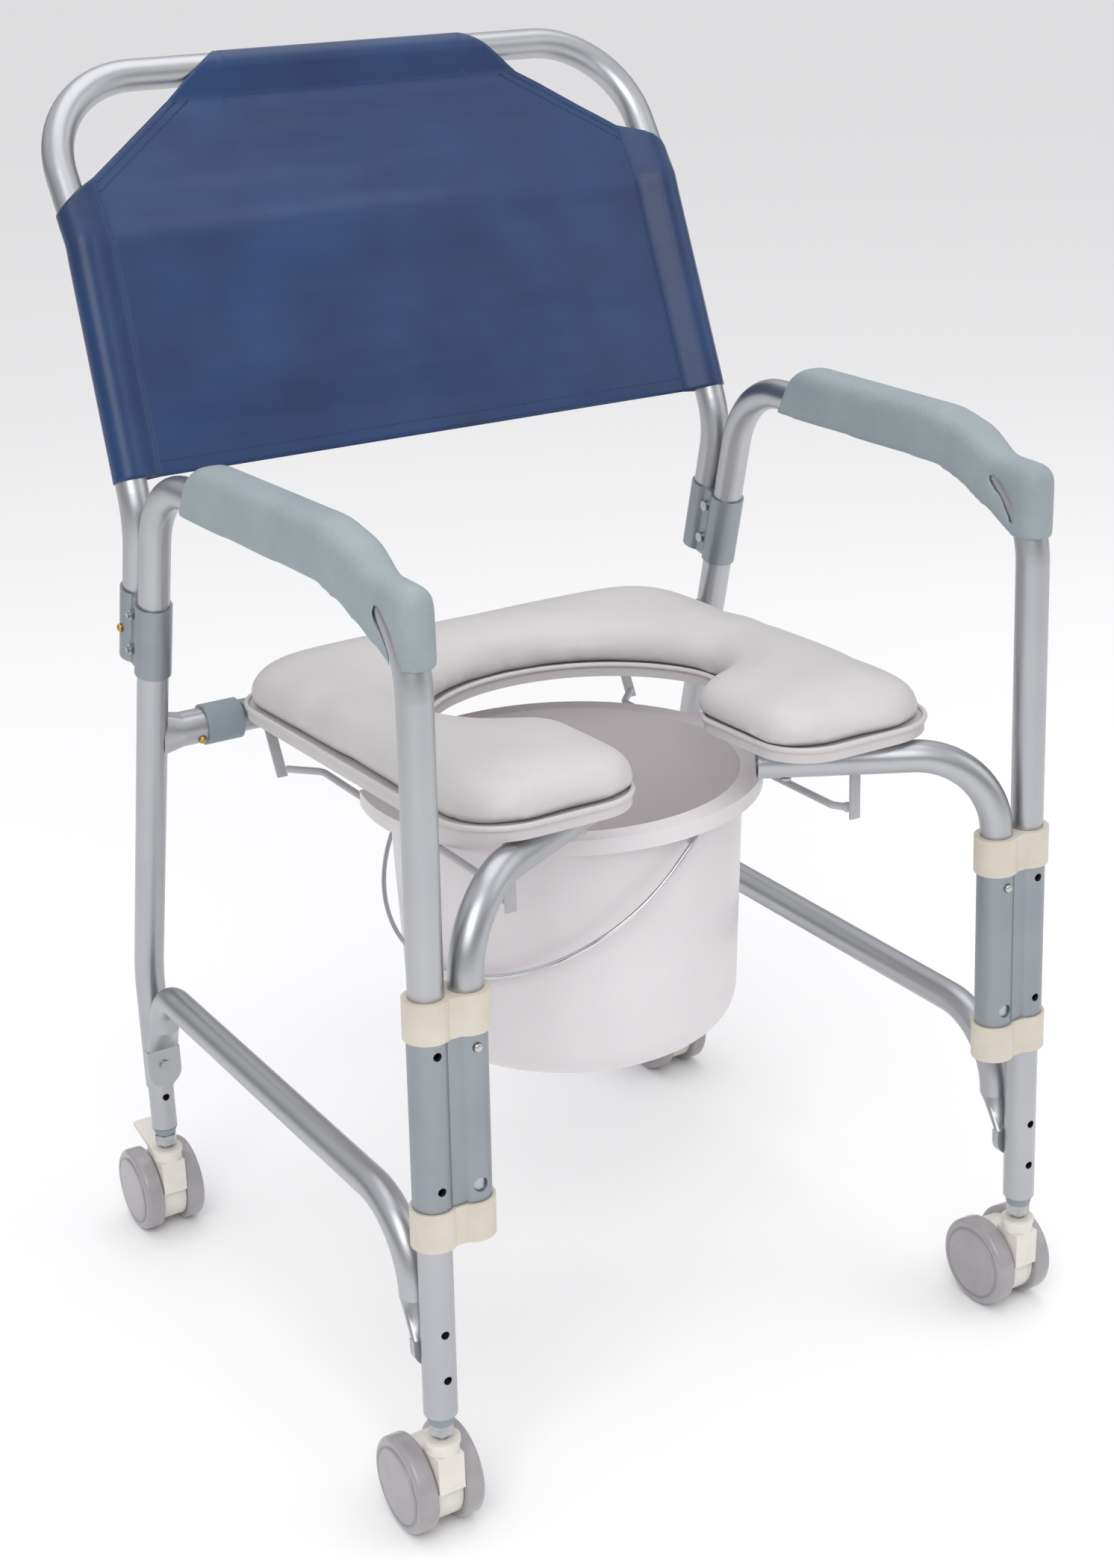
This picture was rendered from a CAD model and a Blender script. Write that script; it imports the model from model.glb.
"""Looks of the shower commode chair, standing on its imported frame."""

from __future__ import annotations

import logging
import math
from dataclasses import dataclass, field
from enum import Enum
from typing import Iterable, Sequence

import bmesh
import bpy
from mathutils import Matrix, Vector, noise


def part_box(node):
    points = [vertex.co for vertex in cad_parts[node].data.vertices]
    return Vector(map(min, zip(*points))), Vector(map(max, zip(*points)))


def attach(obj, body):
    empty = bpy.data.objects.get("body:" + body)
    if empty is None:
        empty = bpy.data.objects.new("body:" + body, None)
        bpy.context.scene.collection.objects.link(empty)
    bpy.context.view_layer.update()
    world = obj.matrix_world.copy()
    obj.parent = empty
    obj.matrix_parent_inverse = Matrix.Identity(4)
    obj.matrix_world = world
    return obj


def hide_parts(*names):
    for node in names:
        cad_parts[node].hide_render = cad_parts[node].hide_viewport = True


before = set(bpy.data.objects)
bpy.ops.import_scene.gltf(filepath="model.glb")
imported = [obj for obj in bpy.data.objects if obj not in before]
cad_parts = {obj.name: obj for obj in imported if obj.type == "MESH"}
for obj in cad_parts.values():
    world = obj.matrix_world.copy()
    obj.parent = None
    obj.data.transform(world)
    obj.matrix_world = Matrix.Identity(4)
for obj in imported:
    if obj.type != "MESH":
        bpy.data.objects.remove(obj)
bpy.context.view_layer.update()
log = logging.getLogger("commode_chair")

MM = 0.001
IMAGE_WIDTH = 1492
IMAGE_HEIGHT = 2100


def linear(colour: str) -> tuple[float, float, float, float]:
    """Turns an sRGB hex colour into linear light.

    Args:
        colour: Six hex digits, such as "93A1A5".

    Returns:
        Red, green, blue and an alpha of 1, all linear.
    """
    channels = [int(colour[i : i + 2], 16) / 255 for i in (0, 2, 4)]
    light = [c / 12.92 if c <= 0.04045 else ((c + 0.055) / 1.055) ** 2.4 for c in channels]
    return (light[0], light[1], light[2], 1.0)


def add_node(
    tree: bpy.types.NodeTree,
    kind: str,
    settings: dict[str, object] | None = None,
    values: dict[str | int, object] | None = None,
    links: dict[str | int, bpy.types.NodeSocket] | None = None,
) -> bpy.types.Node:
    """Adds one node with its settings, input values and links.

    Args:
        tree: The shader or geometry tree.
        kind: The node's type name.
        settings: Attributes of the node itself.
        values: Default values of its inputs, by name or place.
        links: Sockets that feed its inputs, by name or place.

    Returns:
        The new node.
    """
    node = tree.nodes.new(kind)
    for name, setting in (settings or {}).items():
        setattr(node, name, setting)
    for name, value in (values or {}).items():
        node.inputs[name].default_value = value
    for name, source in (links or {}).items():
        tree.links.new(source, node.inputs[name])
    return node


class Grain(Enum):
    """How a surface was made, which sets its bump."""

    SMOOTH = "smooth"
    BRUSHED = "drawn or brushed"
    PEBBLE = "moulded pebble grain"
    LEATHER = "embossed vinyl grain"
    WEAVE = "fine plain weave"
    SATIN = "blasted or anodised"


@dataclass(frozen=True)
class Finish:
    """One real material: its colour, shader numbers and surface pattern."""

    name: str
    colour: str
    second: str
    metallic: float
    roughness: float
    grain: Grain
    grain_mm: float = 1.0
    depth_mm: float = 0.05
    patch_mm: float = 60.0
    patch: float = 0.5
    ior: float = 1.5
    coat: float = 0.0
    sheen: float = 0.0
    subsurface: float = 0.0

    def material(self) -> bpy.types.Material:
        """Builds the node material, once for each finish."""
        found = bpy.data.materials.get(self.name)
        if found is not None:
            return found
        made = bpy.data.materials.new(self.name)
        made.use_nodes = True
        tree = made.node_tree
        tree.nodes.clear()
        place = add_node(tree, "ShaderNodeTexCoord").outputs["Object"]
        patches = add_node(
            tree,
            "ShaderNodeTexNoise",
            values={"Scale": 1 / (self.patch_mm * MM), "Detail": 4.0, "Roughness": 0.55},
            links={"Vector": place},
        )
        spread = add_node(
            tree,
            "ShaderNodeMapRange",
            values={"From Min": 0.5 - self.patch / 2, "From Max": 0.5 + self.patch / 2},
            links={"Value": patches.outputs["Fac"]},
        )
        blend = add_node(
            tree,
            "ShaderNodeMix",
            settings={"data_type": "RGBA"},
            values={6: linear(self.colour), 7: linear(self.second)},
            links={0: spread.outputs["Result"]},
        )
        bump = self.bump(tree, place)
        shader = add_node(
            tree,
            "ShaderNodeBsdfPrincipled",
            values={
                "Metallic": self.metallic,
                "Roughness": self.roughness,
                "Coat Weight": self.coat,
                "Coat Roughness": 0.15,
                "Sheen Weight": self.sheen,
                "Sheen Roughness": 0.4,
                "Subsurface Weight": self.subsurface,
                "Subsurface Scale": 0.004,
            },
            links={"Base Color": blend.outputs[2]},
        )
        if not self.metallic:
            shader.inputs["IOR"].default_value = self.ior
        if bump is not None:
            tree.links.new(bump, shader.inputs["Normal"])
        add_node(tree, "ShaderNodeOutputMaterial", links={"Surface": shader.outputs["BSDF"]})
        return made

    def bump(self, tree: bpy.types.NodeTree, place: bpy.types.NodeSocket) -> bpy.types.NodeSocket | None:
        """Adds the surface pattern's height and turns it into a normal.

        Args:
            tree: The material's tree.
            place: The coordinates that the pattern reads.

        Returns:
            The normal socket, or None where the surface is smooth.
        """
        if self.grain is Grain.SMOOTH:
            return None
        scale = 1 / (self.grain_mm * MM)
        if self.grain in (Grain.PEBBLE, Grain.LEATHER):
            cells = add_node(
                tree,
                "ShaderNodeTexVoronoi",
                settings={"feature": "SMOOTH_F1" if self.grain is Grain.PEBBLE else "DISTANCE_TO_EDGE"},
                values={"Scale": scale, "Randomness": 1.0},
                links={"Vector": place},
            )
            height = cells.outputs["Distance"]
            if self.grain is Grain.LEATHER:
                height = add_node(
                    tree, "ShaderNodeMapRange", values={"From Max": 0.25}, links={"Value": height}
                ).outputs["Result"]
            else:
                height = add_node(
                    tree, "ShaderNodeMapRange", values={"From Min": 0.8, "From Max": 0.1}, links={"Value": height}
                ).outputs["Result"]
        elif self.grain is Grain.WEAVE:
            threads = [
                add_node(
                    tree,
                    "ShaderNodeTexWave",
                    settings={"bands_direction": way},
                    values={"Scale": scale / 20, "Distortion": 0.4, "Detail": 1.0},
                    links={"Vector": place},
                )
                for way in ("X", "Z")
            ]
            height = add_node(
                tree,
                "ShaderNodeMath",
                settings={"operation": "ADD"},
                links={0: threads[0].outputs["Fac"], 1: threads[1].outputs["Fac"]},
            ).outputs[0]
        else:
            stretch = (1.0, 1.0, 0.04) if self.grain is Grain.BRUSHED else (1.0, 1.0, 1.0)
            mapped = add_node(
                tree, "ShaderNodeMapping", values={"Scale": stretch}, links={"Vector": place}
            )
            height = add_node(
                tree,
                "ShaderNodeTexNoise",
                values={"Scale": scale, "Detail": 3.0},
                links={"Vector": mapped.outputs["Vector"]},
            ).outputs["Fac"]
        return add_node(
            tree,
            "ShaderNodeBump",
            values={"Strength": 0.6, "Distance": self.depth_mm * MM},
            links={"Height": height},
        ).outputs["Normal"]


# Anodised aluminium tube: a satin silver with soft long highlights
TUBE = Finish("anodised_tube", "B7B8BB", "AEB0B4", 1.0, 0.36, Grain.SATIN, 0.6, 0.01, 90)
# Extruded aluminium, anodised darker, a little duller than the tube
EXTRUSION = Finish("anodised_extrusion", "9BA1A6", "92989D", 1.0, 0.42, Grain.BRUSHED, 0.5, 0.02, 60)
# Natural nylon clips, moulded: creamy and faintly see-through at the edges
CREAM = Finish("natural_nylon", "D2CCBF", "C8C0B0", 0.0, 0.42, Grain.SATIN, 0.8, 0.02, 25, subsurface=0.15)
# Grey moulded polypropylene bushes and collars
GREY = Finish("grey_polypropylene", "8D979E", "848E95", 0.0, 0.48, Grain.SATIN, 0.5, 0.02, 20)
# Zinc-plated steel screws, nuts and stems
ZINC = Finish("zinc_plated_steel", "B9BBBC", "A5A7A6", 1.0, 0.32, Grain.SATIN, 0.4, 0.01, 8)
# Light grey stoved paint on the rails and tabs
PAINT = Finish("grey_stove_paint", "BEBEC1", "B4B4B7", 0.0, 0.38, Grain.SATIN, 0.5, 0.02, 30)
# Brass snap buttons
BRASS = Finish("turned_brass", "C9A562", "B08C4C", 1.0, 0.24, Grain.SMOOTH, patch_mm=4)
# Nickel-plated snap buttons
NICKEL = Finish("nickel_plate", "C6C4C0", "B4B2AE", 1.0, 0.18, Grain.SMOOTH, patch_mm=4)
# Integral-skin foam armrests: blue-grey, matt, with a leather-like pebble
FOAM = Finish("integral_skin_foam", "95A0A3", "8A9599", 0.0, 0.55, Grain.PEBBLE, 1.7, 0.42, 40, sheen=0.05)
# Coated nylon sling: deep blue with a soft sheen and a fine weave
NYLON = Finish("coated_nylon", "143767", "0E2B54", 0.0, 0.4, Grain.WEAVE, 0.8, 0.03, 90, 0.35, sheen=0.12)
# Sewing thread of the sling
THREAD = Finish("polyester_thread", "1D4274", "173A66", 0.0, 0.6, Grain.SMOOTH, patch_mm=10)
# Embossed vinyl of the seat: warm light grey with a fine grain
VINYL = Finish("embossed_vinyl", "CAC6C6", "C2BEBE", 0.0, 0.46, Grain.LEATHER, 1.3, 0.05, 70, coat=0.06)
# White polypropylene of the bucket: smooth, a little translucent
PAIL = Finish("white_polypropylene", "E0DCDE", "D9D5D7", 0.0, 0.33, Grain.SATIN, 3.0, 0.02, 90, subsurface=0.12)
# Chrome wire of the bail
CHROME = Finish("chrome_wire", "D9DADC", "CFD0D2", 1.0, 0.08, Grain.SMOOTH, patch_mm=20)
# Cream-white nylon of the caster bodies and pedals
NYLON_WHITE = Finish("cream_white_nylon", "E2DED8", "D9D4CC", 0.0, 0.36, Grain.SATIN, 0.6, 0.02, 15, subsurface=0.1)
# Grey thermoplastic rubber treads, glossy from the mould
TREAD = Finish("grey_tread_rubber", "A29EA2", "989598", 0.0, 0.25, Grain.SATIN, 0.8, 0.01, 20, coat=0.3)
# Warm grey discs in the wheels
DISC = Finish("warm_grey_disc", "D3CFCC", "CBC6C3", 0.0, 0.4, Grain.SATIN, 0.6, 0.02, 20)

CAD_FINISHES: tuple[tuple[str, Finish], ...] = (
    ("side_frame", TUBE),
    ("side_brace", TUBE),
    ("leg_extension", TUBE),
    ("back_tube", TUBE),
    ("seat_tube", TUBE),
    ("seat_rear_tube", TUBE),
    ("rear_socket", TUBE),
    ("front_sleeve", EXTRUSION),
    ("back_bracket", EXTRUSION),
    ("sleeve_clips", CREAM),
    ("socket_collars", GREY),
    ("leg_inserts", GREY),
    ("seat_saddles", GREY),
    ("brace_screws", ZINC),
    ("bracket_bolts", ZINC),
    ("seat_screws", ZINC),
    ("caster_stems", ZINC),
    ("caster_axle", ZINC),
    ("bucket_rail", PAINT),
    ("rail_tabs", PAINT),
    ("back_button", BRASS),
    ("seat_rear_button", BRASS),
    ("seat_front_button", NICKEL),
    ("seat_board", VINYL),
    ("bucket", PAIL),
    ("bail_handle", CHROME),
    ("caster_body", NYLON_WHITE),
    ("brake_pedal", NYLON_WHITE),
)


def new_piece(name: str, mesh: bpy.types.Mesh, finishes: Sequence[Finish], body: str) -> bpy.types.Object:
    """Links a finished mesh into the scene and lets it ride on its body.

    Args:
        name: The piece's name.
        mesh: Its mesh, already in place.
        finishes: Its materials, in slot order.
        body: The body that it moves with.

    Returns:
        The new object.
    """
    mesh.materials.clear()
    for finish in finishes:
        mesh.materials.append(finish.material())
    piece = bpy.data.objects.new(name, mesh)
    bpy.context.scene.collection.objects.link(piece)
    for polygon in mesh.polygons:
        polygon.use_smooth = True
    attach(piece, body)
    log.info("%s: %d faces on %s", name, len(mesh.polygons), body)
    return piece


def mesh_from(name: str, points: Sequence[Vector], faces: Sequence[Sequence[int]]) -> bpy.types.Mesh:
    """Makes a mesh with merged points and outward faces."""
    mesh = bpy.data.meshes.new(name)
    mesh.from_pydata([tuple(p) for p in points], [], [tuple(f) for f in faces])
    merged = bmesh.new()
    merged.from_mesh(mesh)
    bmesh.ops.remove_doubles(merged, verts=merged.verts, dist=0.01 * MM)
    merged.to_mesh(mesh)
    merged.free()
    mesh.validate()
    return mesh


def baked(work: bpy.types.Object, name: str) -> bpy.types.Mesh:
    """Turns an object with modifiers into a plain mesh and removes the object."""
    bpy.context.view_layer.update()
    graph = bpy.context.evaluated_depsgraph_get()
    mesh = bpy.data.meshes.new_from_object(work.evaluated_get(graph))
    mesh.name = name
    bpy.data.objects.remove(work)
    return mesh


def copy_of_node(node: str, name: str) -> bpy.types.Object:
    """Copies a CAD node's mesh into a loose work object, with its doubles merged."""
    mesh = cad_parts[node].data.copy()
    cleaned = bmesh.new()
    cleaned.from_mesh(mesh)
    bmesh.ops.remove_doubles(cleaned, verts=cleaned.verts, dist=0.01 * MM)
    cleaned.to_mesh(mesh)
    cleaned.free()
    work = bpy.data.objects.new(name, mesh)
    bpy.context.scene.collection.objects.link(work)
    return work


def swelled(work: bpy.types.Object, voxel: float, pressure: float, cap: float) -> bpy.types.Mesh:
    """Remeshes a plain pad, blows it up as cloth and caps how far it moved.

    Args:
        work: The pad's plain shape.
        voxel: Remesh size in metres.
        pressure: Cloth pressure.
        cap: Longest way that a point may move, in metres.

    Returns:
        The swelled mesh.
    """
    remesh = work.modifiers.new("Remesh", "REMESH")
    remesh.mode = "VOXEL"
    remesh.voxel_size = voxel
    name = work.name
    start = baked(work, name + "_start")
    rest = [v.co.copy() for v in start.vertices]
    simulated = bpy.data.objects.new(name + "_cloth", start)
    bpy.context.scene.collection.objects.link(simulated)
    cloth = simulated.modifiers.new("Cloth", "CLOTH")
    cloth.settings.use_pressure = True
    cloth.settings.uniform_pressure_force = pressure
    cloth.settings.effector_weights.gravity = 0.0
    cloth.settings.quality = 4
    cloth.point_cache.frame_start = 1
    cloth.point_cache.frame_end = 20
    for step in range(1, 21):
        bpy.context.scene.frame_set(step)
    mesh = baked(simulated, name + "_swelled")
    bpy.context.scene.frame_set(1)
    for vertex, origin in zip(mesh.vertices, rest):
        moved = vertex.co - origin
        if moved.length > cap:
            vertex.co = origin + moved.normalized() * cap
    return mesh


def section_loop(node: str, place: Vector, way: Vector) -> list[list[Vector]]:
    """Cuts a CAD node with a plane and returns the closed loops of the cut.

    Args:
        node: The CAD node.
        place: A point on the plane.
        way: The plane's normal.

    Returns:
        Loops of points, each in order.
    """
    cut = bmesh.new()
    cut.from_mesh(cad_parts[node].data)
    bmesh.ops.remove_doubles(cut, verts=cut.verts, dist=0.01 * MM)
    result = bmesh.ops.bisect_plane(
        cut, geom=cut.verts[:] + cut.edges[:] + cut.faces[:], plane_co=place, plane_no=way
    )
    edges = {e for e in result["geom_cut"] if isinstance(e, bmesh.types.BMEdge)}
    loops = []
    while edges:
        edge = edges.pop()
        first, last = edge.verts
        loop = [first.co.copy(), last.co.copy()]
        while last is not first:
            following = next((e for e in last.link_edges if e in edges), None)
            if following is None:
                break
            edges.discard(following)
            last = following.other_vert(last)
            loop.append(last.co.copy())
        loops.append(loop[:-1])
    cut.free()
    return loops


def tube_mesh(name: str, points: Sequence[Vector], radius: float, closed: bool) -> bpy.types.Mesh:
    """Sweeps a thin round bead along points.

    Args:
        name: The mesh's name.
        points: The route.
        radius: The bead's radius in metres.
        closed: True where the route meets itself.

    Returns:
        The bead's mesh.
    """
    curve = bpy.data.curves.new(name, "CURVE")
    curve.dimensions = "3D"
    curve.bevel_depth = radius
    curve.bevel_resolution = 3
    spline = curve.splines.new("POLY")
    spline.points.add(len(points) - 1)
    for point, co in zip(spline.points, points):
        point.co = (*co, 1.0)
    spline.use_cyclic_u = closed
    work = bpy.data.objects.new(name, curve)
    bpy.context.scene.collection.objects.link(work)
    return baked(work, name)


def even(points: Sequence[Vector], gap: float, closed: bool) -> list[Vector]:
    """Spaces points evenly along a route.

    Args:
        points: The route's corners.
        gap: Distance between new points in metres.
        closed: True where the route meets itself.

    Returns:
        The evenly spaced points.
    """
    route = list(points) + ([points[0]] if closed else [])
    lengths = [0.0]
    for a, b in zip(route, route[1:]):
        lengths.append(lengths[-1] + (b - a).length)
    count = max(2, round(lengths[-1] / gap))
    spaced = []
    place = 0
    for i in range(count if closed else count + 1):
        wanted = lengths[-1] * i / count
        while place < len(lengths) - 2 and lengths[place + 1] < wanted:
            place += 1
        run = lengths[place + 1] - lengths[place]
        share = (wanted - lengths[place]) / run if run else 0.0
        spaced.append(route[place].lerp(route[place + 1], share))
    return spaced


@dataclass
class StitchRow:
    """A row of sewn stitches, instanced along a line by Geometry Nodes."""

    pitch: float = 4.2 * MM
    length: float = 3.0 * MM
    radius: float = 0.45 * MM
    finish: Finish = THREAD

    def tree(self) -> bpy.types.NodeTree:
        """Builds the Geometry Nodes tree that lays stitches on a line."""
        group = bpy.data.node_groups.new("stitch_row", "GeometryNodeTree")
        face = group.interface
        face.new_socket("Geometry", in_out="INPUT", socket_type="NodeSocketGeometry")
        face.new_socket("Pitch", in_out="INPUT", socket_type="NodeSocketFloat")
        face.new_socket("Length", in_out="INPUT", socket_type="NodeSocketFloat")
        face.new_socket("Radius", in_out="INPUT", socket_type="NodeSocketFloat")
        face.new_socket("Geometry", in_out="OUTPUT", socket_type="NodeSocketGeometry")
        given = add_node(group, "NodeGroupInput")
        line = add_node(group, "GeometryNodeMeshToCurve", links={"Mesh": given.outputs["Geometry"]})
        spaced = add_node(
            group,
            "GeometryNodeResampleCurve",
            settings={"mode": "LENGTH"},
            links={"Curve": line.outputs["Curve"], "Length": given.outputs["Pitch"]},
        )
        tangent = add_node(group, "GeometryNodeInputTangent")
        turned = add_node(
            group,
            "FunctionNodeAlignEulerToVector",
            settings={"axis": "Z"},
            links={"Vector": tangent.outputs["Tangent"]},
        )
        stitch = add_node(
            group,
            "GeometryNodeMeshCylinder",
            settings={"fill_type": "TRIANGLE_FAN"},
            values={"Vertices": 6, "Side Segments": 2},
            links={"Radius": given.outputs["Radius"], "Depth": given.outputs["Length"]},
        )
        laid = add_node(
            group,
            "GeometryNodeInstanceOnPoints",
            links={
                "Points": spaced.outputs["Curve"],
                "Instance": stitch.outputs["Mesh"],
                "Rotation": turned.outputs["Rotation"],
            },
        )
        real = add_node(group, "GeometryNodeRealizeInstances", links={"Geometry": laid.outputs["Instances"]})
        dressed = add_node(
            group,
            "GeometryNodeSetMaterial",
            values={"Material": self.finish.material()},
            links={"Geometry": real.outputs["Geometry"]},
        )
        add_node(group, "NodeGroupOutput", links={"Geometry": dressed.outputs["Geometry"]})
        return group

    def lay(self, name: str, lines: Iterable[Sequence[Vector]], body: str) -> bpy.types.Object:
        """Lays stitches along lines and makes them one plain piece.

        Args:
            name: The piece's name.
            lines: The sewn lines.
            body: The body that the stitches move with.

        Returns:
            The stitches' object.
        """
        points: list[Vector] = []
        edges: list[tuple[int, int]] = []
        for line in lines:
            start = len(points)
            points.extend(line)
            edges.extend((i, i + 1) for i in range(start, len(points) - 1))
        base = bpy.data.meshes.new(name + "_line")
        base.from_pydata([tuple(p) for p in points], edges, [])
        work = bpy.data.objects.new(name + "_work", base)
        bpy.context.scene.collection.objects.link(work)
        modifier = work.modifiers.new("Stitches", "NODES")
        modifier.node_group = self.tree()
        sizes = {"Pitch": self.pitch, "Length": self.length, "Radius": self.radius}
        for item in modifier.node_group.interface.items_tree:
            if item.in_out == "INPUT" and item.name in sizes:
                modifier[item.identifier] = sizes[item.name]
        return new_piece(name, baked(work, name), [self.finish], body)


@dataclass
class Seat:
    """The padded seat: a swelled cushion, its piping and its wrapped board."""

    voxel: float = 5.0 * MM
    pressure: float = 4.0
    cap: float = 5.0 * MM
    piping_radius: float = 2.3 * MM
    rest_y: float = -190.0 * MM
    seam_z: float = 528.5 * MM
    slope: float = 0.02713
    board: float = 10.0 * MM

    def seam(self, depth: float) -> float:
        """Height of the seam between cushion and board at a depth."""
        return self.seam_z - self.slope * (depth - self.rest_y)

    def build(self) -> None:
        """Makes the cushion and the piping round its lower seam."""
        work = copy_of_node("seat_cushion", "seat_pad")
        mesh = swelled(work, self.voxel, self.pressure, self.cap)
        self.settle(mesh)
        pad = bpy.data.objects.new("seat_pad_work", mesh)
        bpy.context.scene.collection.objects.link(pad)
        smooth = pad.modifiers.new("Smooth", "CORRECTIVE_SMOOTH")
        smooth.use_only_smooth = True
        smooth.iterations = 6
        finer = pad.modifiers.new("Finer", "SUBSURF")
        finer.levels = 1
        finer.render_levels = 1
        piece = new_piece("seat_pad", baked(pad, "seat_pad"), [VINYL], "frame")
        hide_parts("seat_cushion")
        self.pipe()

    def settle(self, mesh: bpy.types.Mesh) -> None:
        """Keeps the cushion's underside flat on its board."""
        for vertex in mesh.vertices:
            vertex.co.z = max(vertex.co.z, self.seam(vertex.co.y))

    def pipe(self) -> None:
        """Sews piping round the seam between cushion and board."""
        middle = Vector((0, 0, self.seam(0) - self.board / 2))
        for i, loop in enumerate(section_loop("seat_board", middle, Vector((0, self.slope, 1)))):
            if len(loop) < 60:
                continue
            route = [Vector((p.x, p.y, self.seam(p.y))) for p in even(loop, 4 * MM, True)]
            mesh = tube_mesh("seat_piping", route, self.piping_radius, True)
            new_piece(f"seat_piping_{i}", mesh, [VINYL], "frame")


@dataclass
class Armrest:
    """A moulded foam armrest pad."""

    side: str
    voxel: float = 3.0 * MM

    def build(self) -> None:
        """Softens the pad's plain shape into a moulded one."""
        work = copy_of_node(f"armrest_{self.side}", f"armrest_pad_{self.side}")
        remesh = work.modifiers.new("Remesh", "REMESH")
        remesh.mode = "VOXEL"
        remesh.voxel_size = self.voxel
        smooth = work.modifiers.new("Smooth", "SMOOTH")
        smooth.factor = 0.5
        smooth.iterations = 12
        mesh = baked(work, f"armrest_pad_{self.side}")
        piece = new_piece(f"armrest_pad_{self.side}", mesh, [FOAM], "frame")
        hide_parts(f"armrest_{self.side}")


@dataclass
class Sling:
    """The back sling: one coated panel sewn into sleeves round the back tube."""

    bottom_z: float = 709.0 * MM
    waist: tuple[float, float] = (225.5 * MM, 885.6 * MM)
    top: tuple[float, float] = (303.3 * MM, 1001.6 * MM)
    bend: tuple[float, float] = (146.8 * MM, 678.0 * MM)
    half_low: float = 274.5 * MM
    half_high: float = 269.0 * MM
    wing_z: float = 907.0 * MM
    top_half: float = 110.0 * MM
    bar_rows: int = 16
    sleeve_r: float = 13.7 * MM
    seam_in: float = 25.0 * MM
    thickness: float = 0.9 * MM
    columns: int = 120
    rows: int = 84
    loop_steps: int = 14
    lines: list[list[Vector]] = field(default_factory=list)

    def __post_init__(self) -> None:
        """Works out the panel's own directions and lengths."""
        self.low_way = (Vector(self.waist) - Vector(self.bend)).normalized()
        self.high_way = (Vector(self.top) - Vector(self.waist)).normalized()
        self.start = Vector(self.waist) - self.low_way * ((self.waist[1] - self.bottom_z) / self.low_way.y)
        self.waist_at = (Vector(self.waist) - self.start).length
        self.bar_at = self.waist_at + (Vector(self.top) - Vector(self.waist)).length
        self.wing_at = self.waist_at + (self.wing_z - self.waist[1]) / self.high_way.y
        self.open_angle = math.acos(self.sleeve_r / self.seam_in)

    def spot(self, across: float, up: float, out: float) -> Vector:
        """Places a point by its distance across, up the slope and out to the front.

        Args:
            across: Distance from the middle in metres.
            up: Distance up the slope from the bottom edge.
            out: Distance to the front of the tube's middle line.

        Returns:
            The point in the chair's frame.
        """
        turn = 14 * MM
        share = min(1.0, max(0.0, (up - self.waist_at + turn) / (2 * turn)))
        way = self.low_way.lerp(self.high_way, share).normalized()
        if up < self.waist_at:
            line = self.start + self.low_way * up
        else:
            line = Vector(self.waist) + self.high_way * (up - self.waist_at)
        line = line + Vector((way.y, -way.x)) * (-0.5 * MM * math.sin(math.pi * share))
        return Vector((across, line.x - way.y * out, line.y + way.x * out))

    def tube_x(self, up: float) -> float:
        """Distance of the side tube from the middle at a distance up the slope."""
        height = self.bottom_z + up * self.low_way.y
        share = min(1.0, (height - self.bend[1]) / (self.waist[1] - self.bend[1]))
        return self.half_low + (self.half_high - self.half_low) * share

    def loop(self, from_seam: float) -> tuple[float, float]:
        """Follows the fabric from a seam over the front of its tube and round to the seam again.

        Args:
            from_seam: Distance along the fabric from the seam.

        Returns:
            Distance outwards from the seam and distance to the front.
        """
        strip = math.sqrt(self.seam_in**2 - self.sleeve_r**2)
        arc_angle = 2 * (math.pi - self.open_angle)
        arc = self.sleeve_r * arc_angle
        if from_seam <= strip:
            share = from_seam / strip
            touch = math.pi - self.open_angle
            return (
                share * (self.seam_in + self.sleeve_r * math.cos(touch)),
                share * self.sleeve_r * math.sin(touch),
            )
        if from_seam <= strip + arc:
            angle = math.pi - self.open_angle - (from_seam - strip) / self.sleeve_r
            return (
                self.seam_in + self.sleeve_r * math.cos(angle),
                self.sleeve_r * math.sin(angle),
            )
        share = min(1.0, (from_seam - strip - arc) / strip)
        touch = -(math.pi - self.open_angle)
        start = Vector((self.seam_in + self.sleeve_r * math.cos(touch), self.sleeve_r * math.sin(touch)))
        end = Vector((0.0, -1.6 * MM))
        return tuple(start.lerp(end, share))

    def loop_length(self) -> float:
        """Length of fabric in one sleeve."""
        strip = math.sqrt(self.seam_in**2 - self.sleeve_r**2)
        return 2 * strip + self.sleeve_r * 2 * (math.pi - self.open_angle)

    def reach(self, across: float) -> float:
        """Distance up the slope at which the slanting corner cuts the fabric."""
        outer = self.half_high + self.sleeve_r
        top_at = self.bar_at + self.sleeve_r
        slope = (top_at - self.wing_at) / (outer - self.top_half)
        return self.wing_at + (outer - abs(across)) * slope

    def along(self, travel: float) -> tuple[float, float]:
        """Distance up and out after travelling up the fabric and over the top bar."""
        seam_at = self.bar_at - self.seam_in
        if travel <= seam_at:
            return travel, 0.0
        up, out = self.loop(travel - seam_at)
        return seam_at + up, out

    def travel_end(self, across: float) -> float:
        """How far the fabric travels up at a distance across."""
        full = self.bar_at - self.seam_in + self.loop_length()
        if abs(across) <= self.top_half:
            return full
        limit = self.reach(across)
        travel = min(limit, self.bar_at - self.seam_in)
        step = 0.5 * MM
        while travel < full and self.along(travel)[0] < limit - 0.01 * MM:
            if self.along(travel + step)[0] < self.along(travel)[0]:
                break
            travel += step
        return travel

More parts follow.
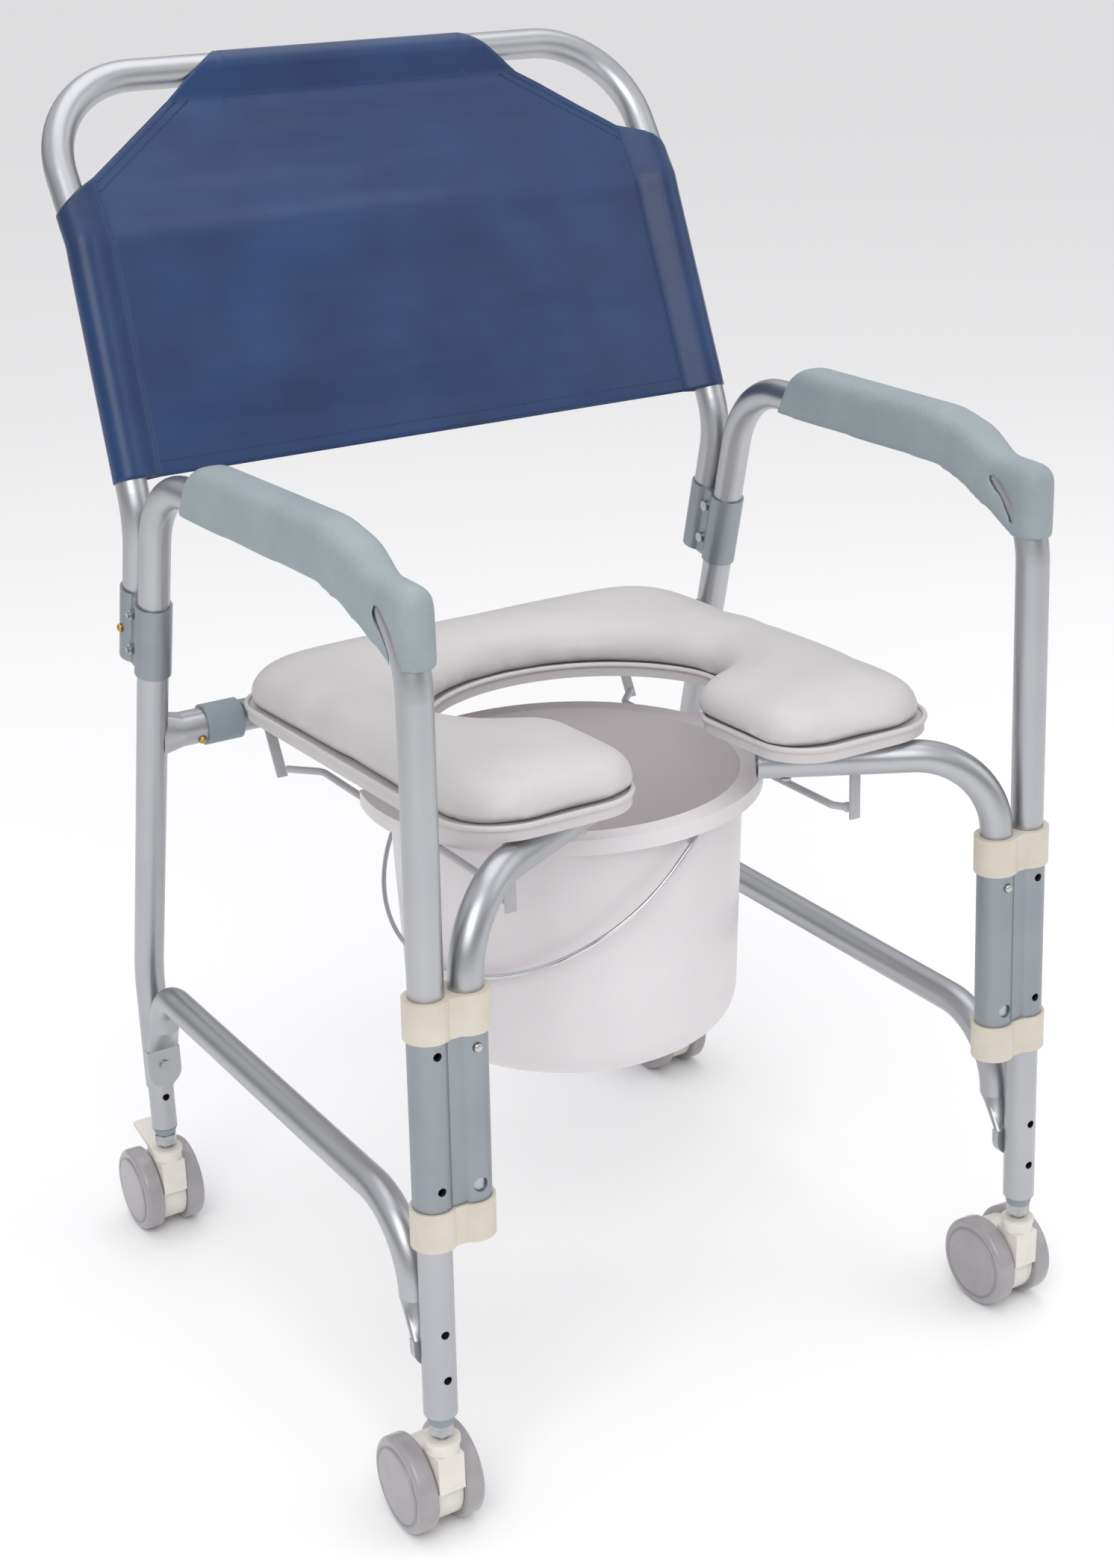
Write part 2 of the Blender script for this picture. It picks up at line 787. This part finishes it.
    def ripple(self, spot: Vector, across: float, up: float) -> float:
        """Height of the slack folds and creases at a point of the panel."""
        wide = noise.noise(Vector((across * 5, up * 22, 1.7))) * 1.5 * MM
        fine = noise.noise(Vector((across * 16, up * 70, 5.2))) * 0.45 * MM
        high = max(0.0, (up - self.wing_at) / (self.bar_at - self.wing_at))
        pull = noise.noise(Vector((across * 30 + up * 9, up * 12, 9.1))) * 1.6 * MM * high
        return wide + fine + pull

    def build(self) -> None:
        """Makes the panel with its sleeves, hems and stitches."""
        loop_length = self.loop_length()
        stops: list[tuple[float, float, bool]] = []
        for i in range(self.loop_steps, 0, -1):
            stops.append((-1.0, loop_length * i / self.loop_steps, True))
        for i in range(self.columns + 1):
            stops.append((-1.0 + 2.0 * i / self.columns, 0.0, False))
        for i in range(1, self.loop_steps + 1):
            stops.append((1.0, loop_length * i / self.loop_steps, True))
        seam_at = self.bar_at - self.seam_in
        bar_top = seam_at + loop_length / 2
        points: list[Vector] = []
        for share, from_seam, looped in stops:
            side = -1.0 if share < 0 else 1.0
            sideways, out = self.loop(from_seam) if looped else (0.0, 0.0)
            half = self.half_high - self.seam_in
            rough = share * half + side * sideways
            end = min(self.travel_end(rough), bar_top)
            if looped:
                end = min(end, self.reach(rough))
            for row in range(self.rows + 1):
                travel = end * row / self.rows
                up, over = self.along(travel) if not looped else (travel, 0.0)
                seam_x = self.tube_x(min(up, self.waist_at)) - self.seam_in
                across = share * seam_x + side * sideways
                edge = 1.0 - abs(share) ** 6 if not looped else 0.0
                place = self.spot(across, up, 0.0)
                fade = min(1.0, max(0.0, (seam_at - travel) / (14 * MM)))
                slack = self.ripple(place, across, up) * edge * fade
                points.append(self.spot(across, up, out + over + slack))
        width = len(stops)
        faces = []
        tall = self.rows + 1
        for i in range(width - 1):
            for j in range(self.rows):
                a = i * tall + j
                faces.append((a, a + tall, a + tall + 1, a + 1))
        half = self.half_high - self.seam_in
        shares = [s for s, _, looped in stops if not looped and abs(s) * half <= self.top_half]
        first = len(points)
        for share in shares:
            for row in range(self.bar_rows + 1):
                up, over = self.along(bar_top + loop_length / 2 * row / self.bar_rows)
                points.append(self.spot(share * (self.tube_x(self.waist_at) - self.seam_in), up, over))
        tall = self.bar_rows + 1
        for i in range(len(shares) - 1):
            for j in range(self.bar_rows):
                a = first + i * tall + j
                faces.append((a, a + tall, a + tall + 1, a + 1))
        mesh = mesh_from("back_sling_cloth", points, faces)
        work = bpy.data.objects.new("sling_work", mesh)
        bpy.context.scene.collection.objects.link(work)
        solid = work.modifiers.new("Cloth", "SOLIDIFY")
        solid.thickness = self.thickness
        solid.offset = 0.0
        cloth = new_piece("back_sling_cloth", baked(work, "back_sling_cloth"), [NYLON], "frame")
        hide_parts("back_sling")
        rows = StitchRow().lay("sling_stitches", self.seam_lines(), "frame")

    def seam_lines(self) -> list[list[Vector]]:
        """Lines of the stitches: side seams, top seam, bottom hem and slanting hems."""
        front = self.thickness / 2 + 0.1 * MM
        lines: list[list[Vector]] = []
        for side in (-1.0, 1.0):
            column = []
            end = self.reach(self.half_high - self.seam_in)
            for i in range(121):
                up = 3 * MM + (end - 6 * MM) * i / 120
                x = side * (self.tube_x(min(up, self.waist_at)) - self.seam_in)
                column.append(self.spot(x, up, front))
            lines.append(column)
            for inset in (5 * MM, 11 * MM):
                slant = []
                for i in range(81):
                    across = self.top_half + (self.half_high - self.seam_in - self.top_half) * i / 80
                    up = self.reach(across) - inset * 1.3
                    if up < self.bar_at - self.seam_in - 2 * MM:
                        slack = self.ripple(Vector(), side * across, up)
                        edge = 1.0 - (across / (self.half_high - self.seam_in)) ** 6
                        slant.append(self.spot(side * across, up, front + slack * edge))
                lines.append(slant)
        for up in (12 * MM, self.bar_at - self.seam_in - 0.5 * MM):
            half = self.half_high - self.seam_in if up < self.waist_at else self.top_half + 18 * MM
            level = []
            for i in range(201):
                across = -half + 2 * half * i / 200
                slack = self.ripple(Vector(), across, up) if up < self.waist_at else 0.0
                edge = 1.0 - abs(across / (self.half_high - self.seam_in)) ** 6
                level.append(self.spot(across, up, front + slack * edge))
            lines.append(level)
        return lines


@dataclass
class CasterWheel:
    """A caster wheel: a glossy tread round a pale disc."""

    corner: str
    side: str
    radius: float = 37.5 * MM
    width: float = 16.5 * MM
    disc_radius: float = 30.2 * MM
    steps: int = 72

    def profile(self) -> list[tuple[float, float, int]]:
        """Outline of the wheel as distance out, distance along the axle and material."""
        r, w, d = self.radius, self.width, self.disc_radius
        edge = 5.0 * MM
        inner_edge = 2.5 * MM
        line = [(3.4 * MM, 0.6 * MM, 1), (9 * MM, 0.6 * MM, 1), (10 * MM, 0.0, 1), (r - inner_edge, 0.0, 0)]
        for i in range(1, 7):
            angle = math.pi / 2 * i / 6
            line.append((r - inner_edge + inner_edge * math.sin(angle), inner_edge - inner_edge * math.cos(angle), 0))
        line.append((r, w * 0.5, 0))
        for i in range(1, 9):
            angle = math.pi / 2 * i / 8
            line.append((r - edge + edge * math.cos(angle), w - edge + edge * math.sin(angle), 0))
        line.append((d + 1.0 * MM, w, 0))
        line.append((d + 0.5 * MM, w - 1.0 * MM, 0))
        line.append((d, w - 1.0 * MM, 1))
        for i in range(1, 5):
            angle = math.pi / 2 * i / 4
            line.append((d - 1.2 * MM * math.sin(angle), w - 1.0 * MM + 1.6 * MM * (1 - math.cos(angle)), 1))
        line.append((d - 4.0 * MM, w + 0.75 * MM, 1))
        line.append((d * 0.5, w + 0.8 * MM, 1))
        line.append((0.0, w + 0.8 * MM, 1))
        return line

    def build(self) -> None:
        """Spins the wheel's outline round its axle."""
        node = f"caster_wheel_{self.corner}_{self.side}"
        low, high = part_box(node)
        middle = (low + high) / 2
        way = 1.0 if self.side == "right" else -1.0
        inner = low.x if way > 0 else high.x
        outline = self.profile()
        points: list[Vector] = []
        for out, along, _ in outline:
            for i in range(self.steps):
                angle = 2 * math.pi * i / self.steps
                points.append(
                    Vector(
                        (
                            inner + way * along,
                            middle.y + out * math.cos(angle),
                            self.radius + out * math.sin(angle),
                        )
                    )
                )
        faces = []
        slots = []
        for j in range(len(outline) - 1):
            for i in range(self.steps):
                a = j * self.steps + i
                b = j * self.steps + (i + 1) % self.steps
                face = (a, b, b + self.steps, a + self.steps)
                faces.append(face if way < 0 else face[::-1])
                slots.append(outline[j + 1][2])
        mesh = bpy.data.meshes.new(node)
        mesh.from_pydata([tuple(p) for p in points], [], faces)
        for polygon, slot in zip(mesh.polygons, slots):
            polygon.material_index = slot
        clean = bmesh.new()
        clean.from_mesh(mesh)
        bmesh.ops.remove_doubles(clean, verts=clean.verts, dist=0.001 * MM)
        bmesh.ops.recalc_face_normals(clean, faces=clean.faces)
        clean.to_mesh(mesh)
        clean.free()
        body = f"wheel_{self.corner}_{self.side}"
        piece = new_piece(f"wheel_skin_{self.corner}_{self.side}", mesh, [TREAD, DISC], body)
        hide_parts(node)


@dataclass
class Studio:
    """The pale floor, the soft lights and the camera at the photograph's view."""

    camera_at: Vector = field(default_factory=lambda: Vector((-0.94114, -1.62711, 1.16518)))
    forward: Vector = field(default_factory=lambda: Vector((0.47132, 0.80563, -0.35890)))
    up: Vector = field(default_factory=lambda: Vector((0.21084, 0.29221, 0.93281)))
    focal_pixels: float = 3276.67
    sensor_mm: float = 36.0
    level_light: float = 0.3
    sky_light: float = 0.85

    def build(self) -> None:
        """Sets up the floor, world, lights and camera."""
        self.floor()
        self.world()
        self.light("key", (-1.6, -2.2, 2.6), 2.2, 44)
        self.light("fill", (2.6, -1.6, 1.8), 2.4, 14)
        self.light("top", (0.2, 0.3, 3.2), 2.6, 24)
        bpy.context.scene.view_settings.view_transform = "Standard"
        self.camera()

    def floor(self) -> None:
        """Lays a large plain floor."""
        half = 30.0
        mesh = mesh_from("floor", [Vector((x, y, 0)) for x, y in ((-half, -half), (half, -half), (half, half), (-half, half))], [(0, 1, 2, 3)])
        pale = bpy.data.materials.new("pale_floor")
        pale.use_nodes = True
        shader = pale.node_tree.nodes["Principled BSDF"]
        shader.inputs["Base Color"].default_value = linear("FCFCFC")
        shader.inputs["Roughness"].default_value = 0.8
        mesh.materials.append(pale)
        floor = bpy.data.objects.new("floor", mesh)
        bpy.context.scene.collection.objects.link(floor)

    def world(self) -> None:
        """Fills the surroundings with white light, darker near the level so that metals show it."""
        world = bpy.data.worlds.new("studio")
        bpy.context.scene.world = world
        world.use_nodes = True
        tree = world.node_tree
        way = add_node(tree, "ShaderNodeTexCoord").outputs["Generated"]
        height = add_node(tree, "ShaderNodeSeparateXYZ", links={"Vector": way}).outputs["Z"]
        strength = add_node(
            tree,
            "ShaderNodeMapRange",
            settings={"interpolation_type": "SMOOTHSTEP"},
            values={"From Min": 0.05, "From Max": 0.55, "To Min": self.level_light, "To Max": self.sky_light},
            links={"Value": height},
        )
        background = tree.nodes["Background"]
        background.inputs["Color"].default_value = linear("FAFAFC")
        tree.links.new(strength.outputs["Result"], background.inputs["Strength"])

    def light(self, name: str, place: tuple[float, float, float], size: float, power: float) -> None:
        """Adds one soft square light that faces the chair.

        Args:
            name: The light's name.
            place: Where it hangs, in metres.
            size: Its side in metres.
            power: Its power in watts.
        """
        lamp = bpy.data.lights.new(name, "AREA")
        lamp.size = size
        lamp.energy = power
        holder = bpy.data.objects.new(name, lamp)
        bpy.context.scene.collection.objects.link(holder)
        aim = Vector((0, 0, 0.5)) - Vector(place)
        holder.location = place
        holder.rotation_euler = aim.to_track_quat("-Z", "Y").to_euler()

    def camera(self) -> None:
        """Places the camera where the photograph was taken."""
        lens = bpy.data.cameras.new("photo_view")
        lens.sensor_fit = "VERTICAL"
        lens.sensor_height = self.sensor_mm
        lens.lens = self.focal_pixels / IMAGE_HEIGHT * self.sensor_mm
        camera = bpy.data.objects.new("photo_view", lens)
        bpy.context.scene.collection.objects.link(camera)
        right = self.forward.cross(self.up).normalized()
        columns = (right, self.up.normalized(), -self.forward.normalized())
        turn = Matrix([[c[i] for c in columns] for i in range(3)]).to_4x4()
        camera.matrix_world = Matrix.Translation(self.camera_at) @ turn
        bpy.context.scene.camera = camera


def dress_nodes() -> None:
    """Gives each carried-over CAD node its real finish."""
    for name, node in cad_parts.items():
        finish = next((f for start, f in CAD_FINISHES if name.startswith(start)), None)
        if finish is None:
            continue
        for holder in node.material_slots:
            holder.material = finish.material()


def main() -> None:
    """Builds the chair's pieces in order and the studio round them."""
    logging.basicConfig(level=logging.INFO, format="%(name)s %(message)s")
    dress_nodes()
    Seat().build()
    for side in ("left", "right"):
        Armrest(side).build()
    Sling().build()
    for corner in ("front_left", "front_right", "rear_left", "rear_right"):
        for side in ("left", "right"):
            CasterWheel(corner, side).build()
    Studio().build()


if __name__ == "__main__":
    main()
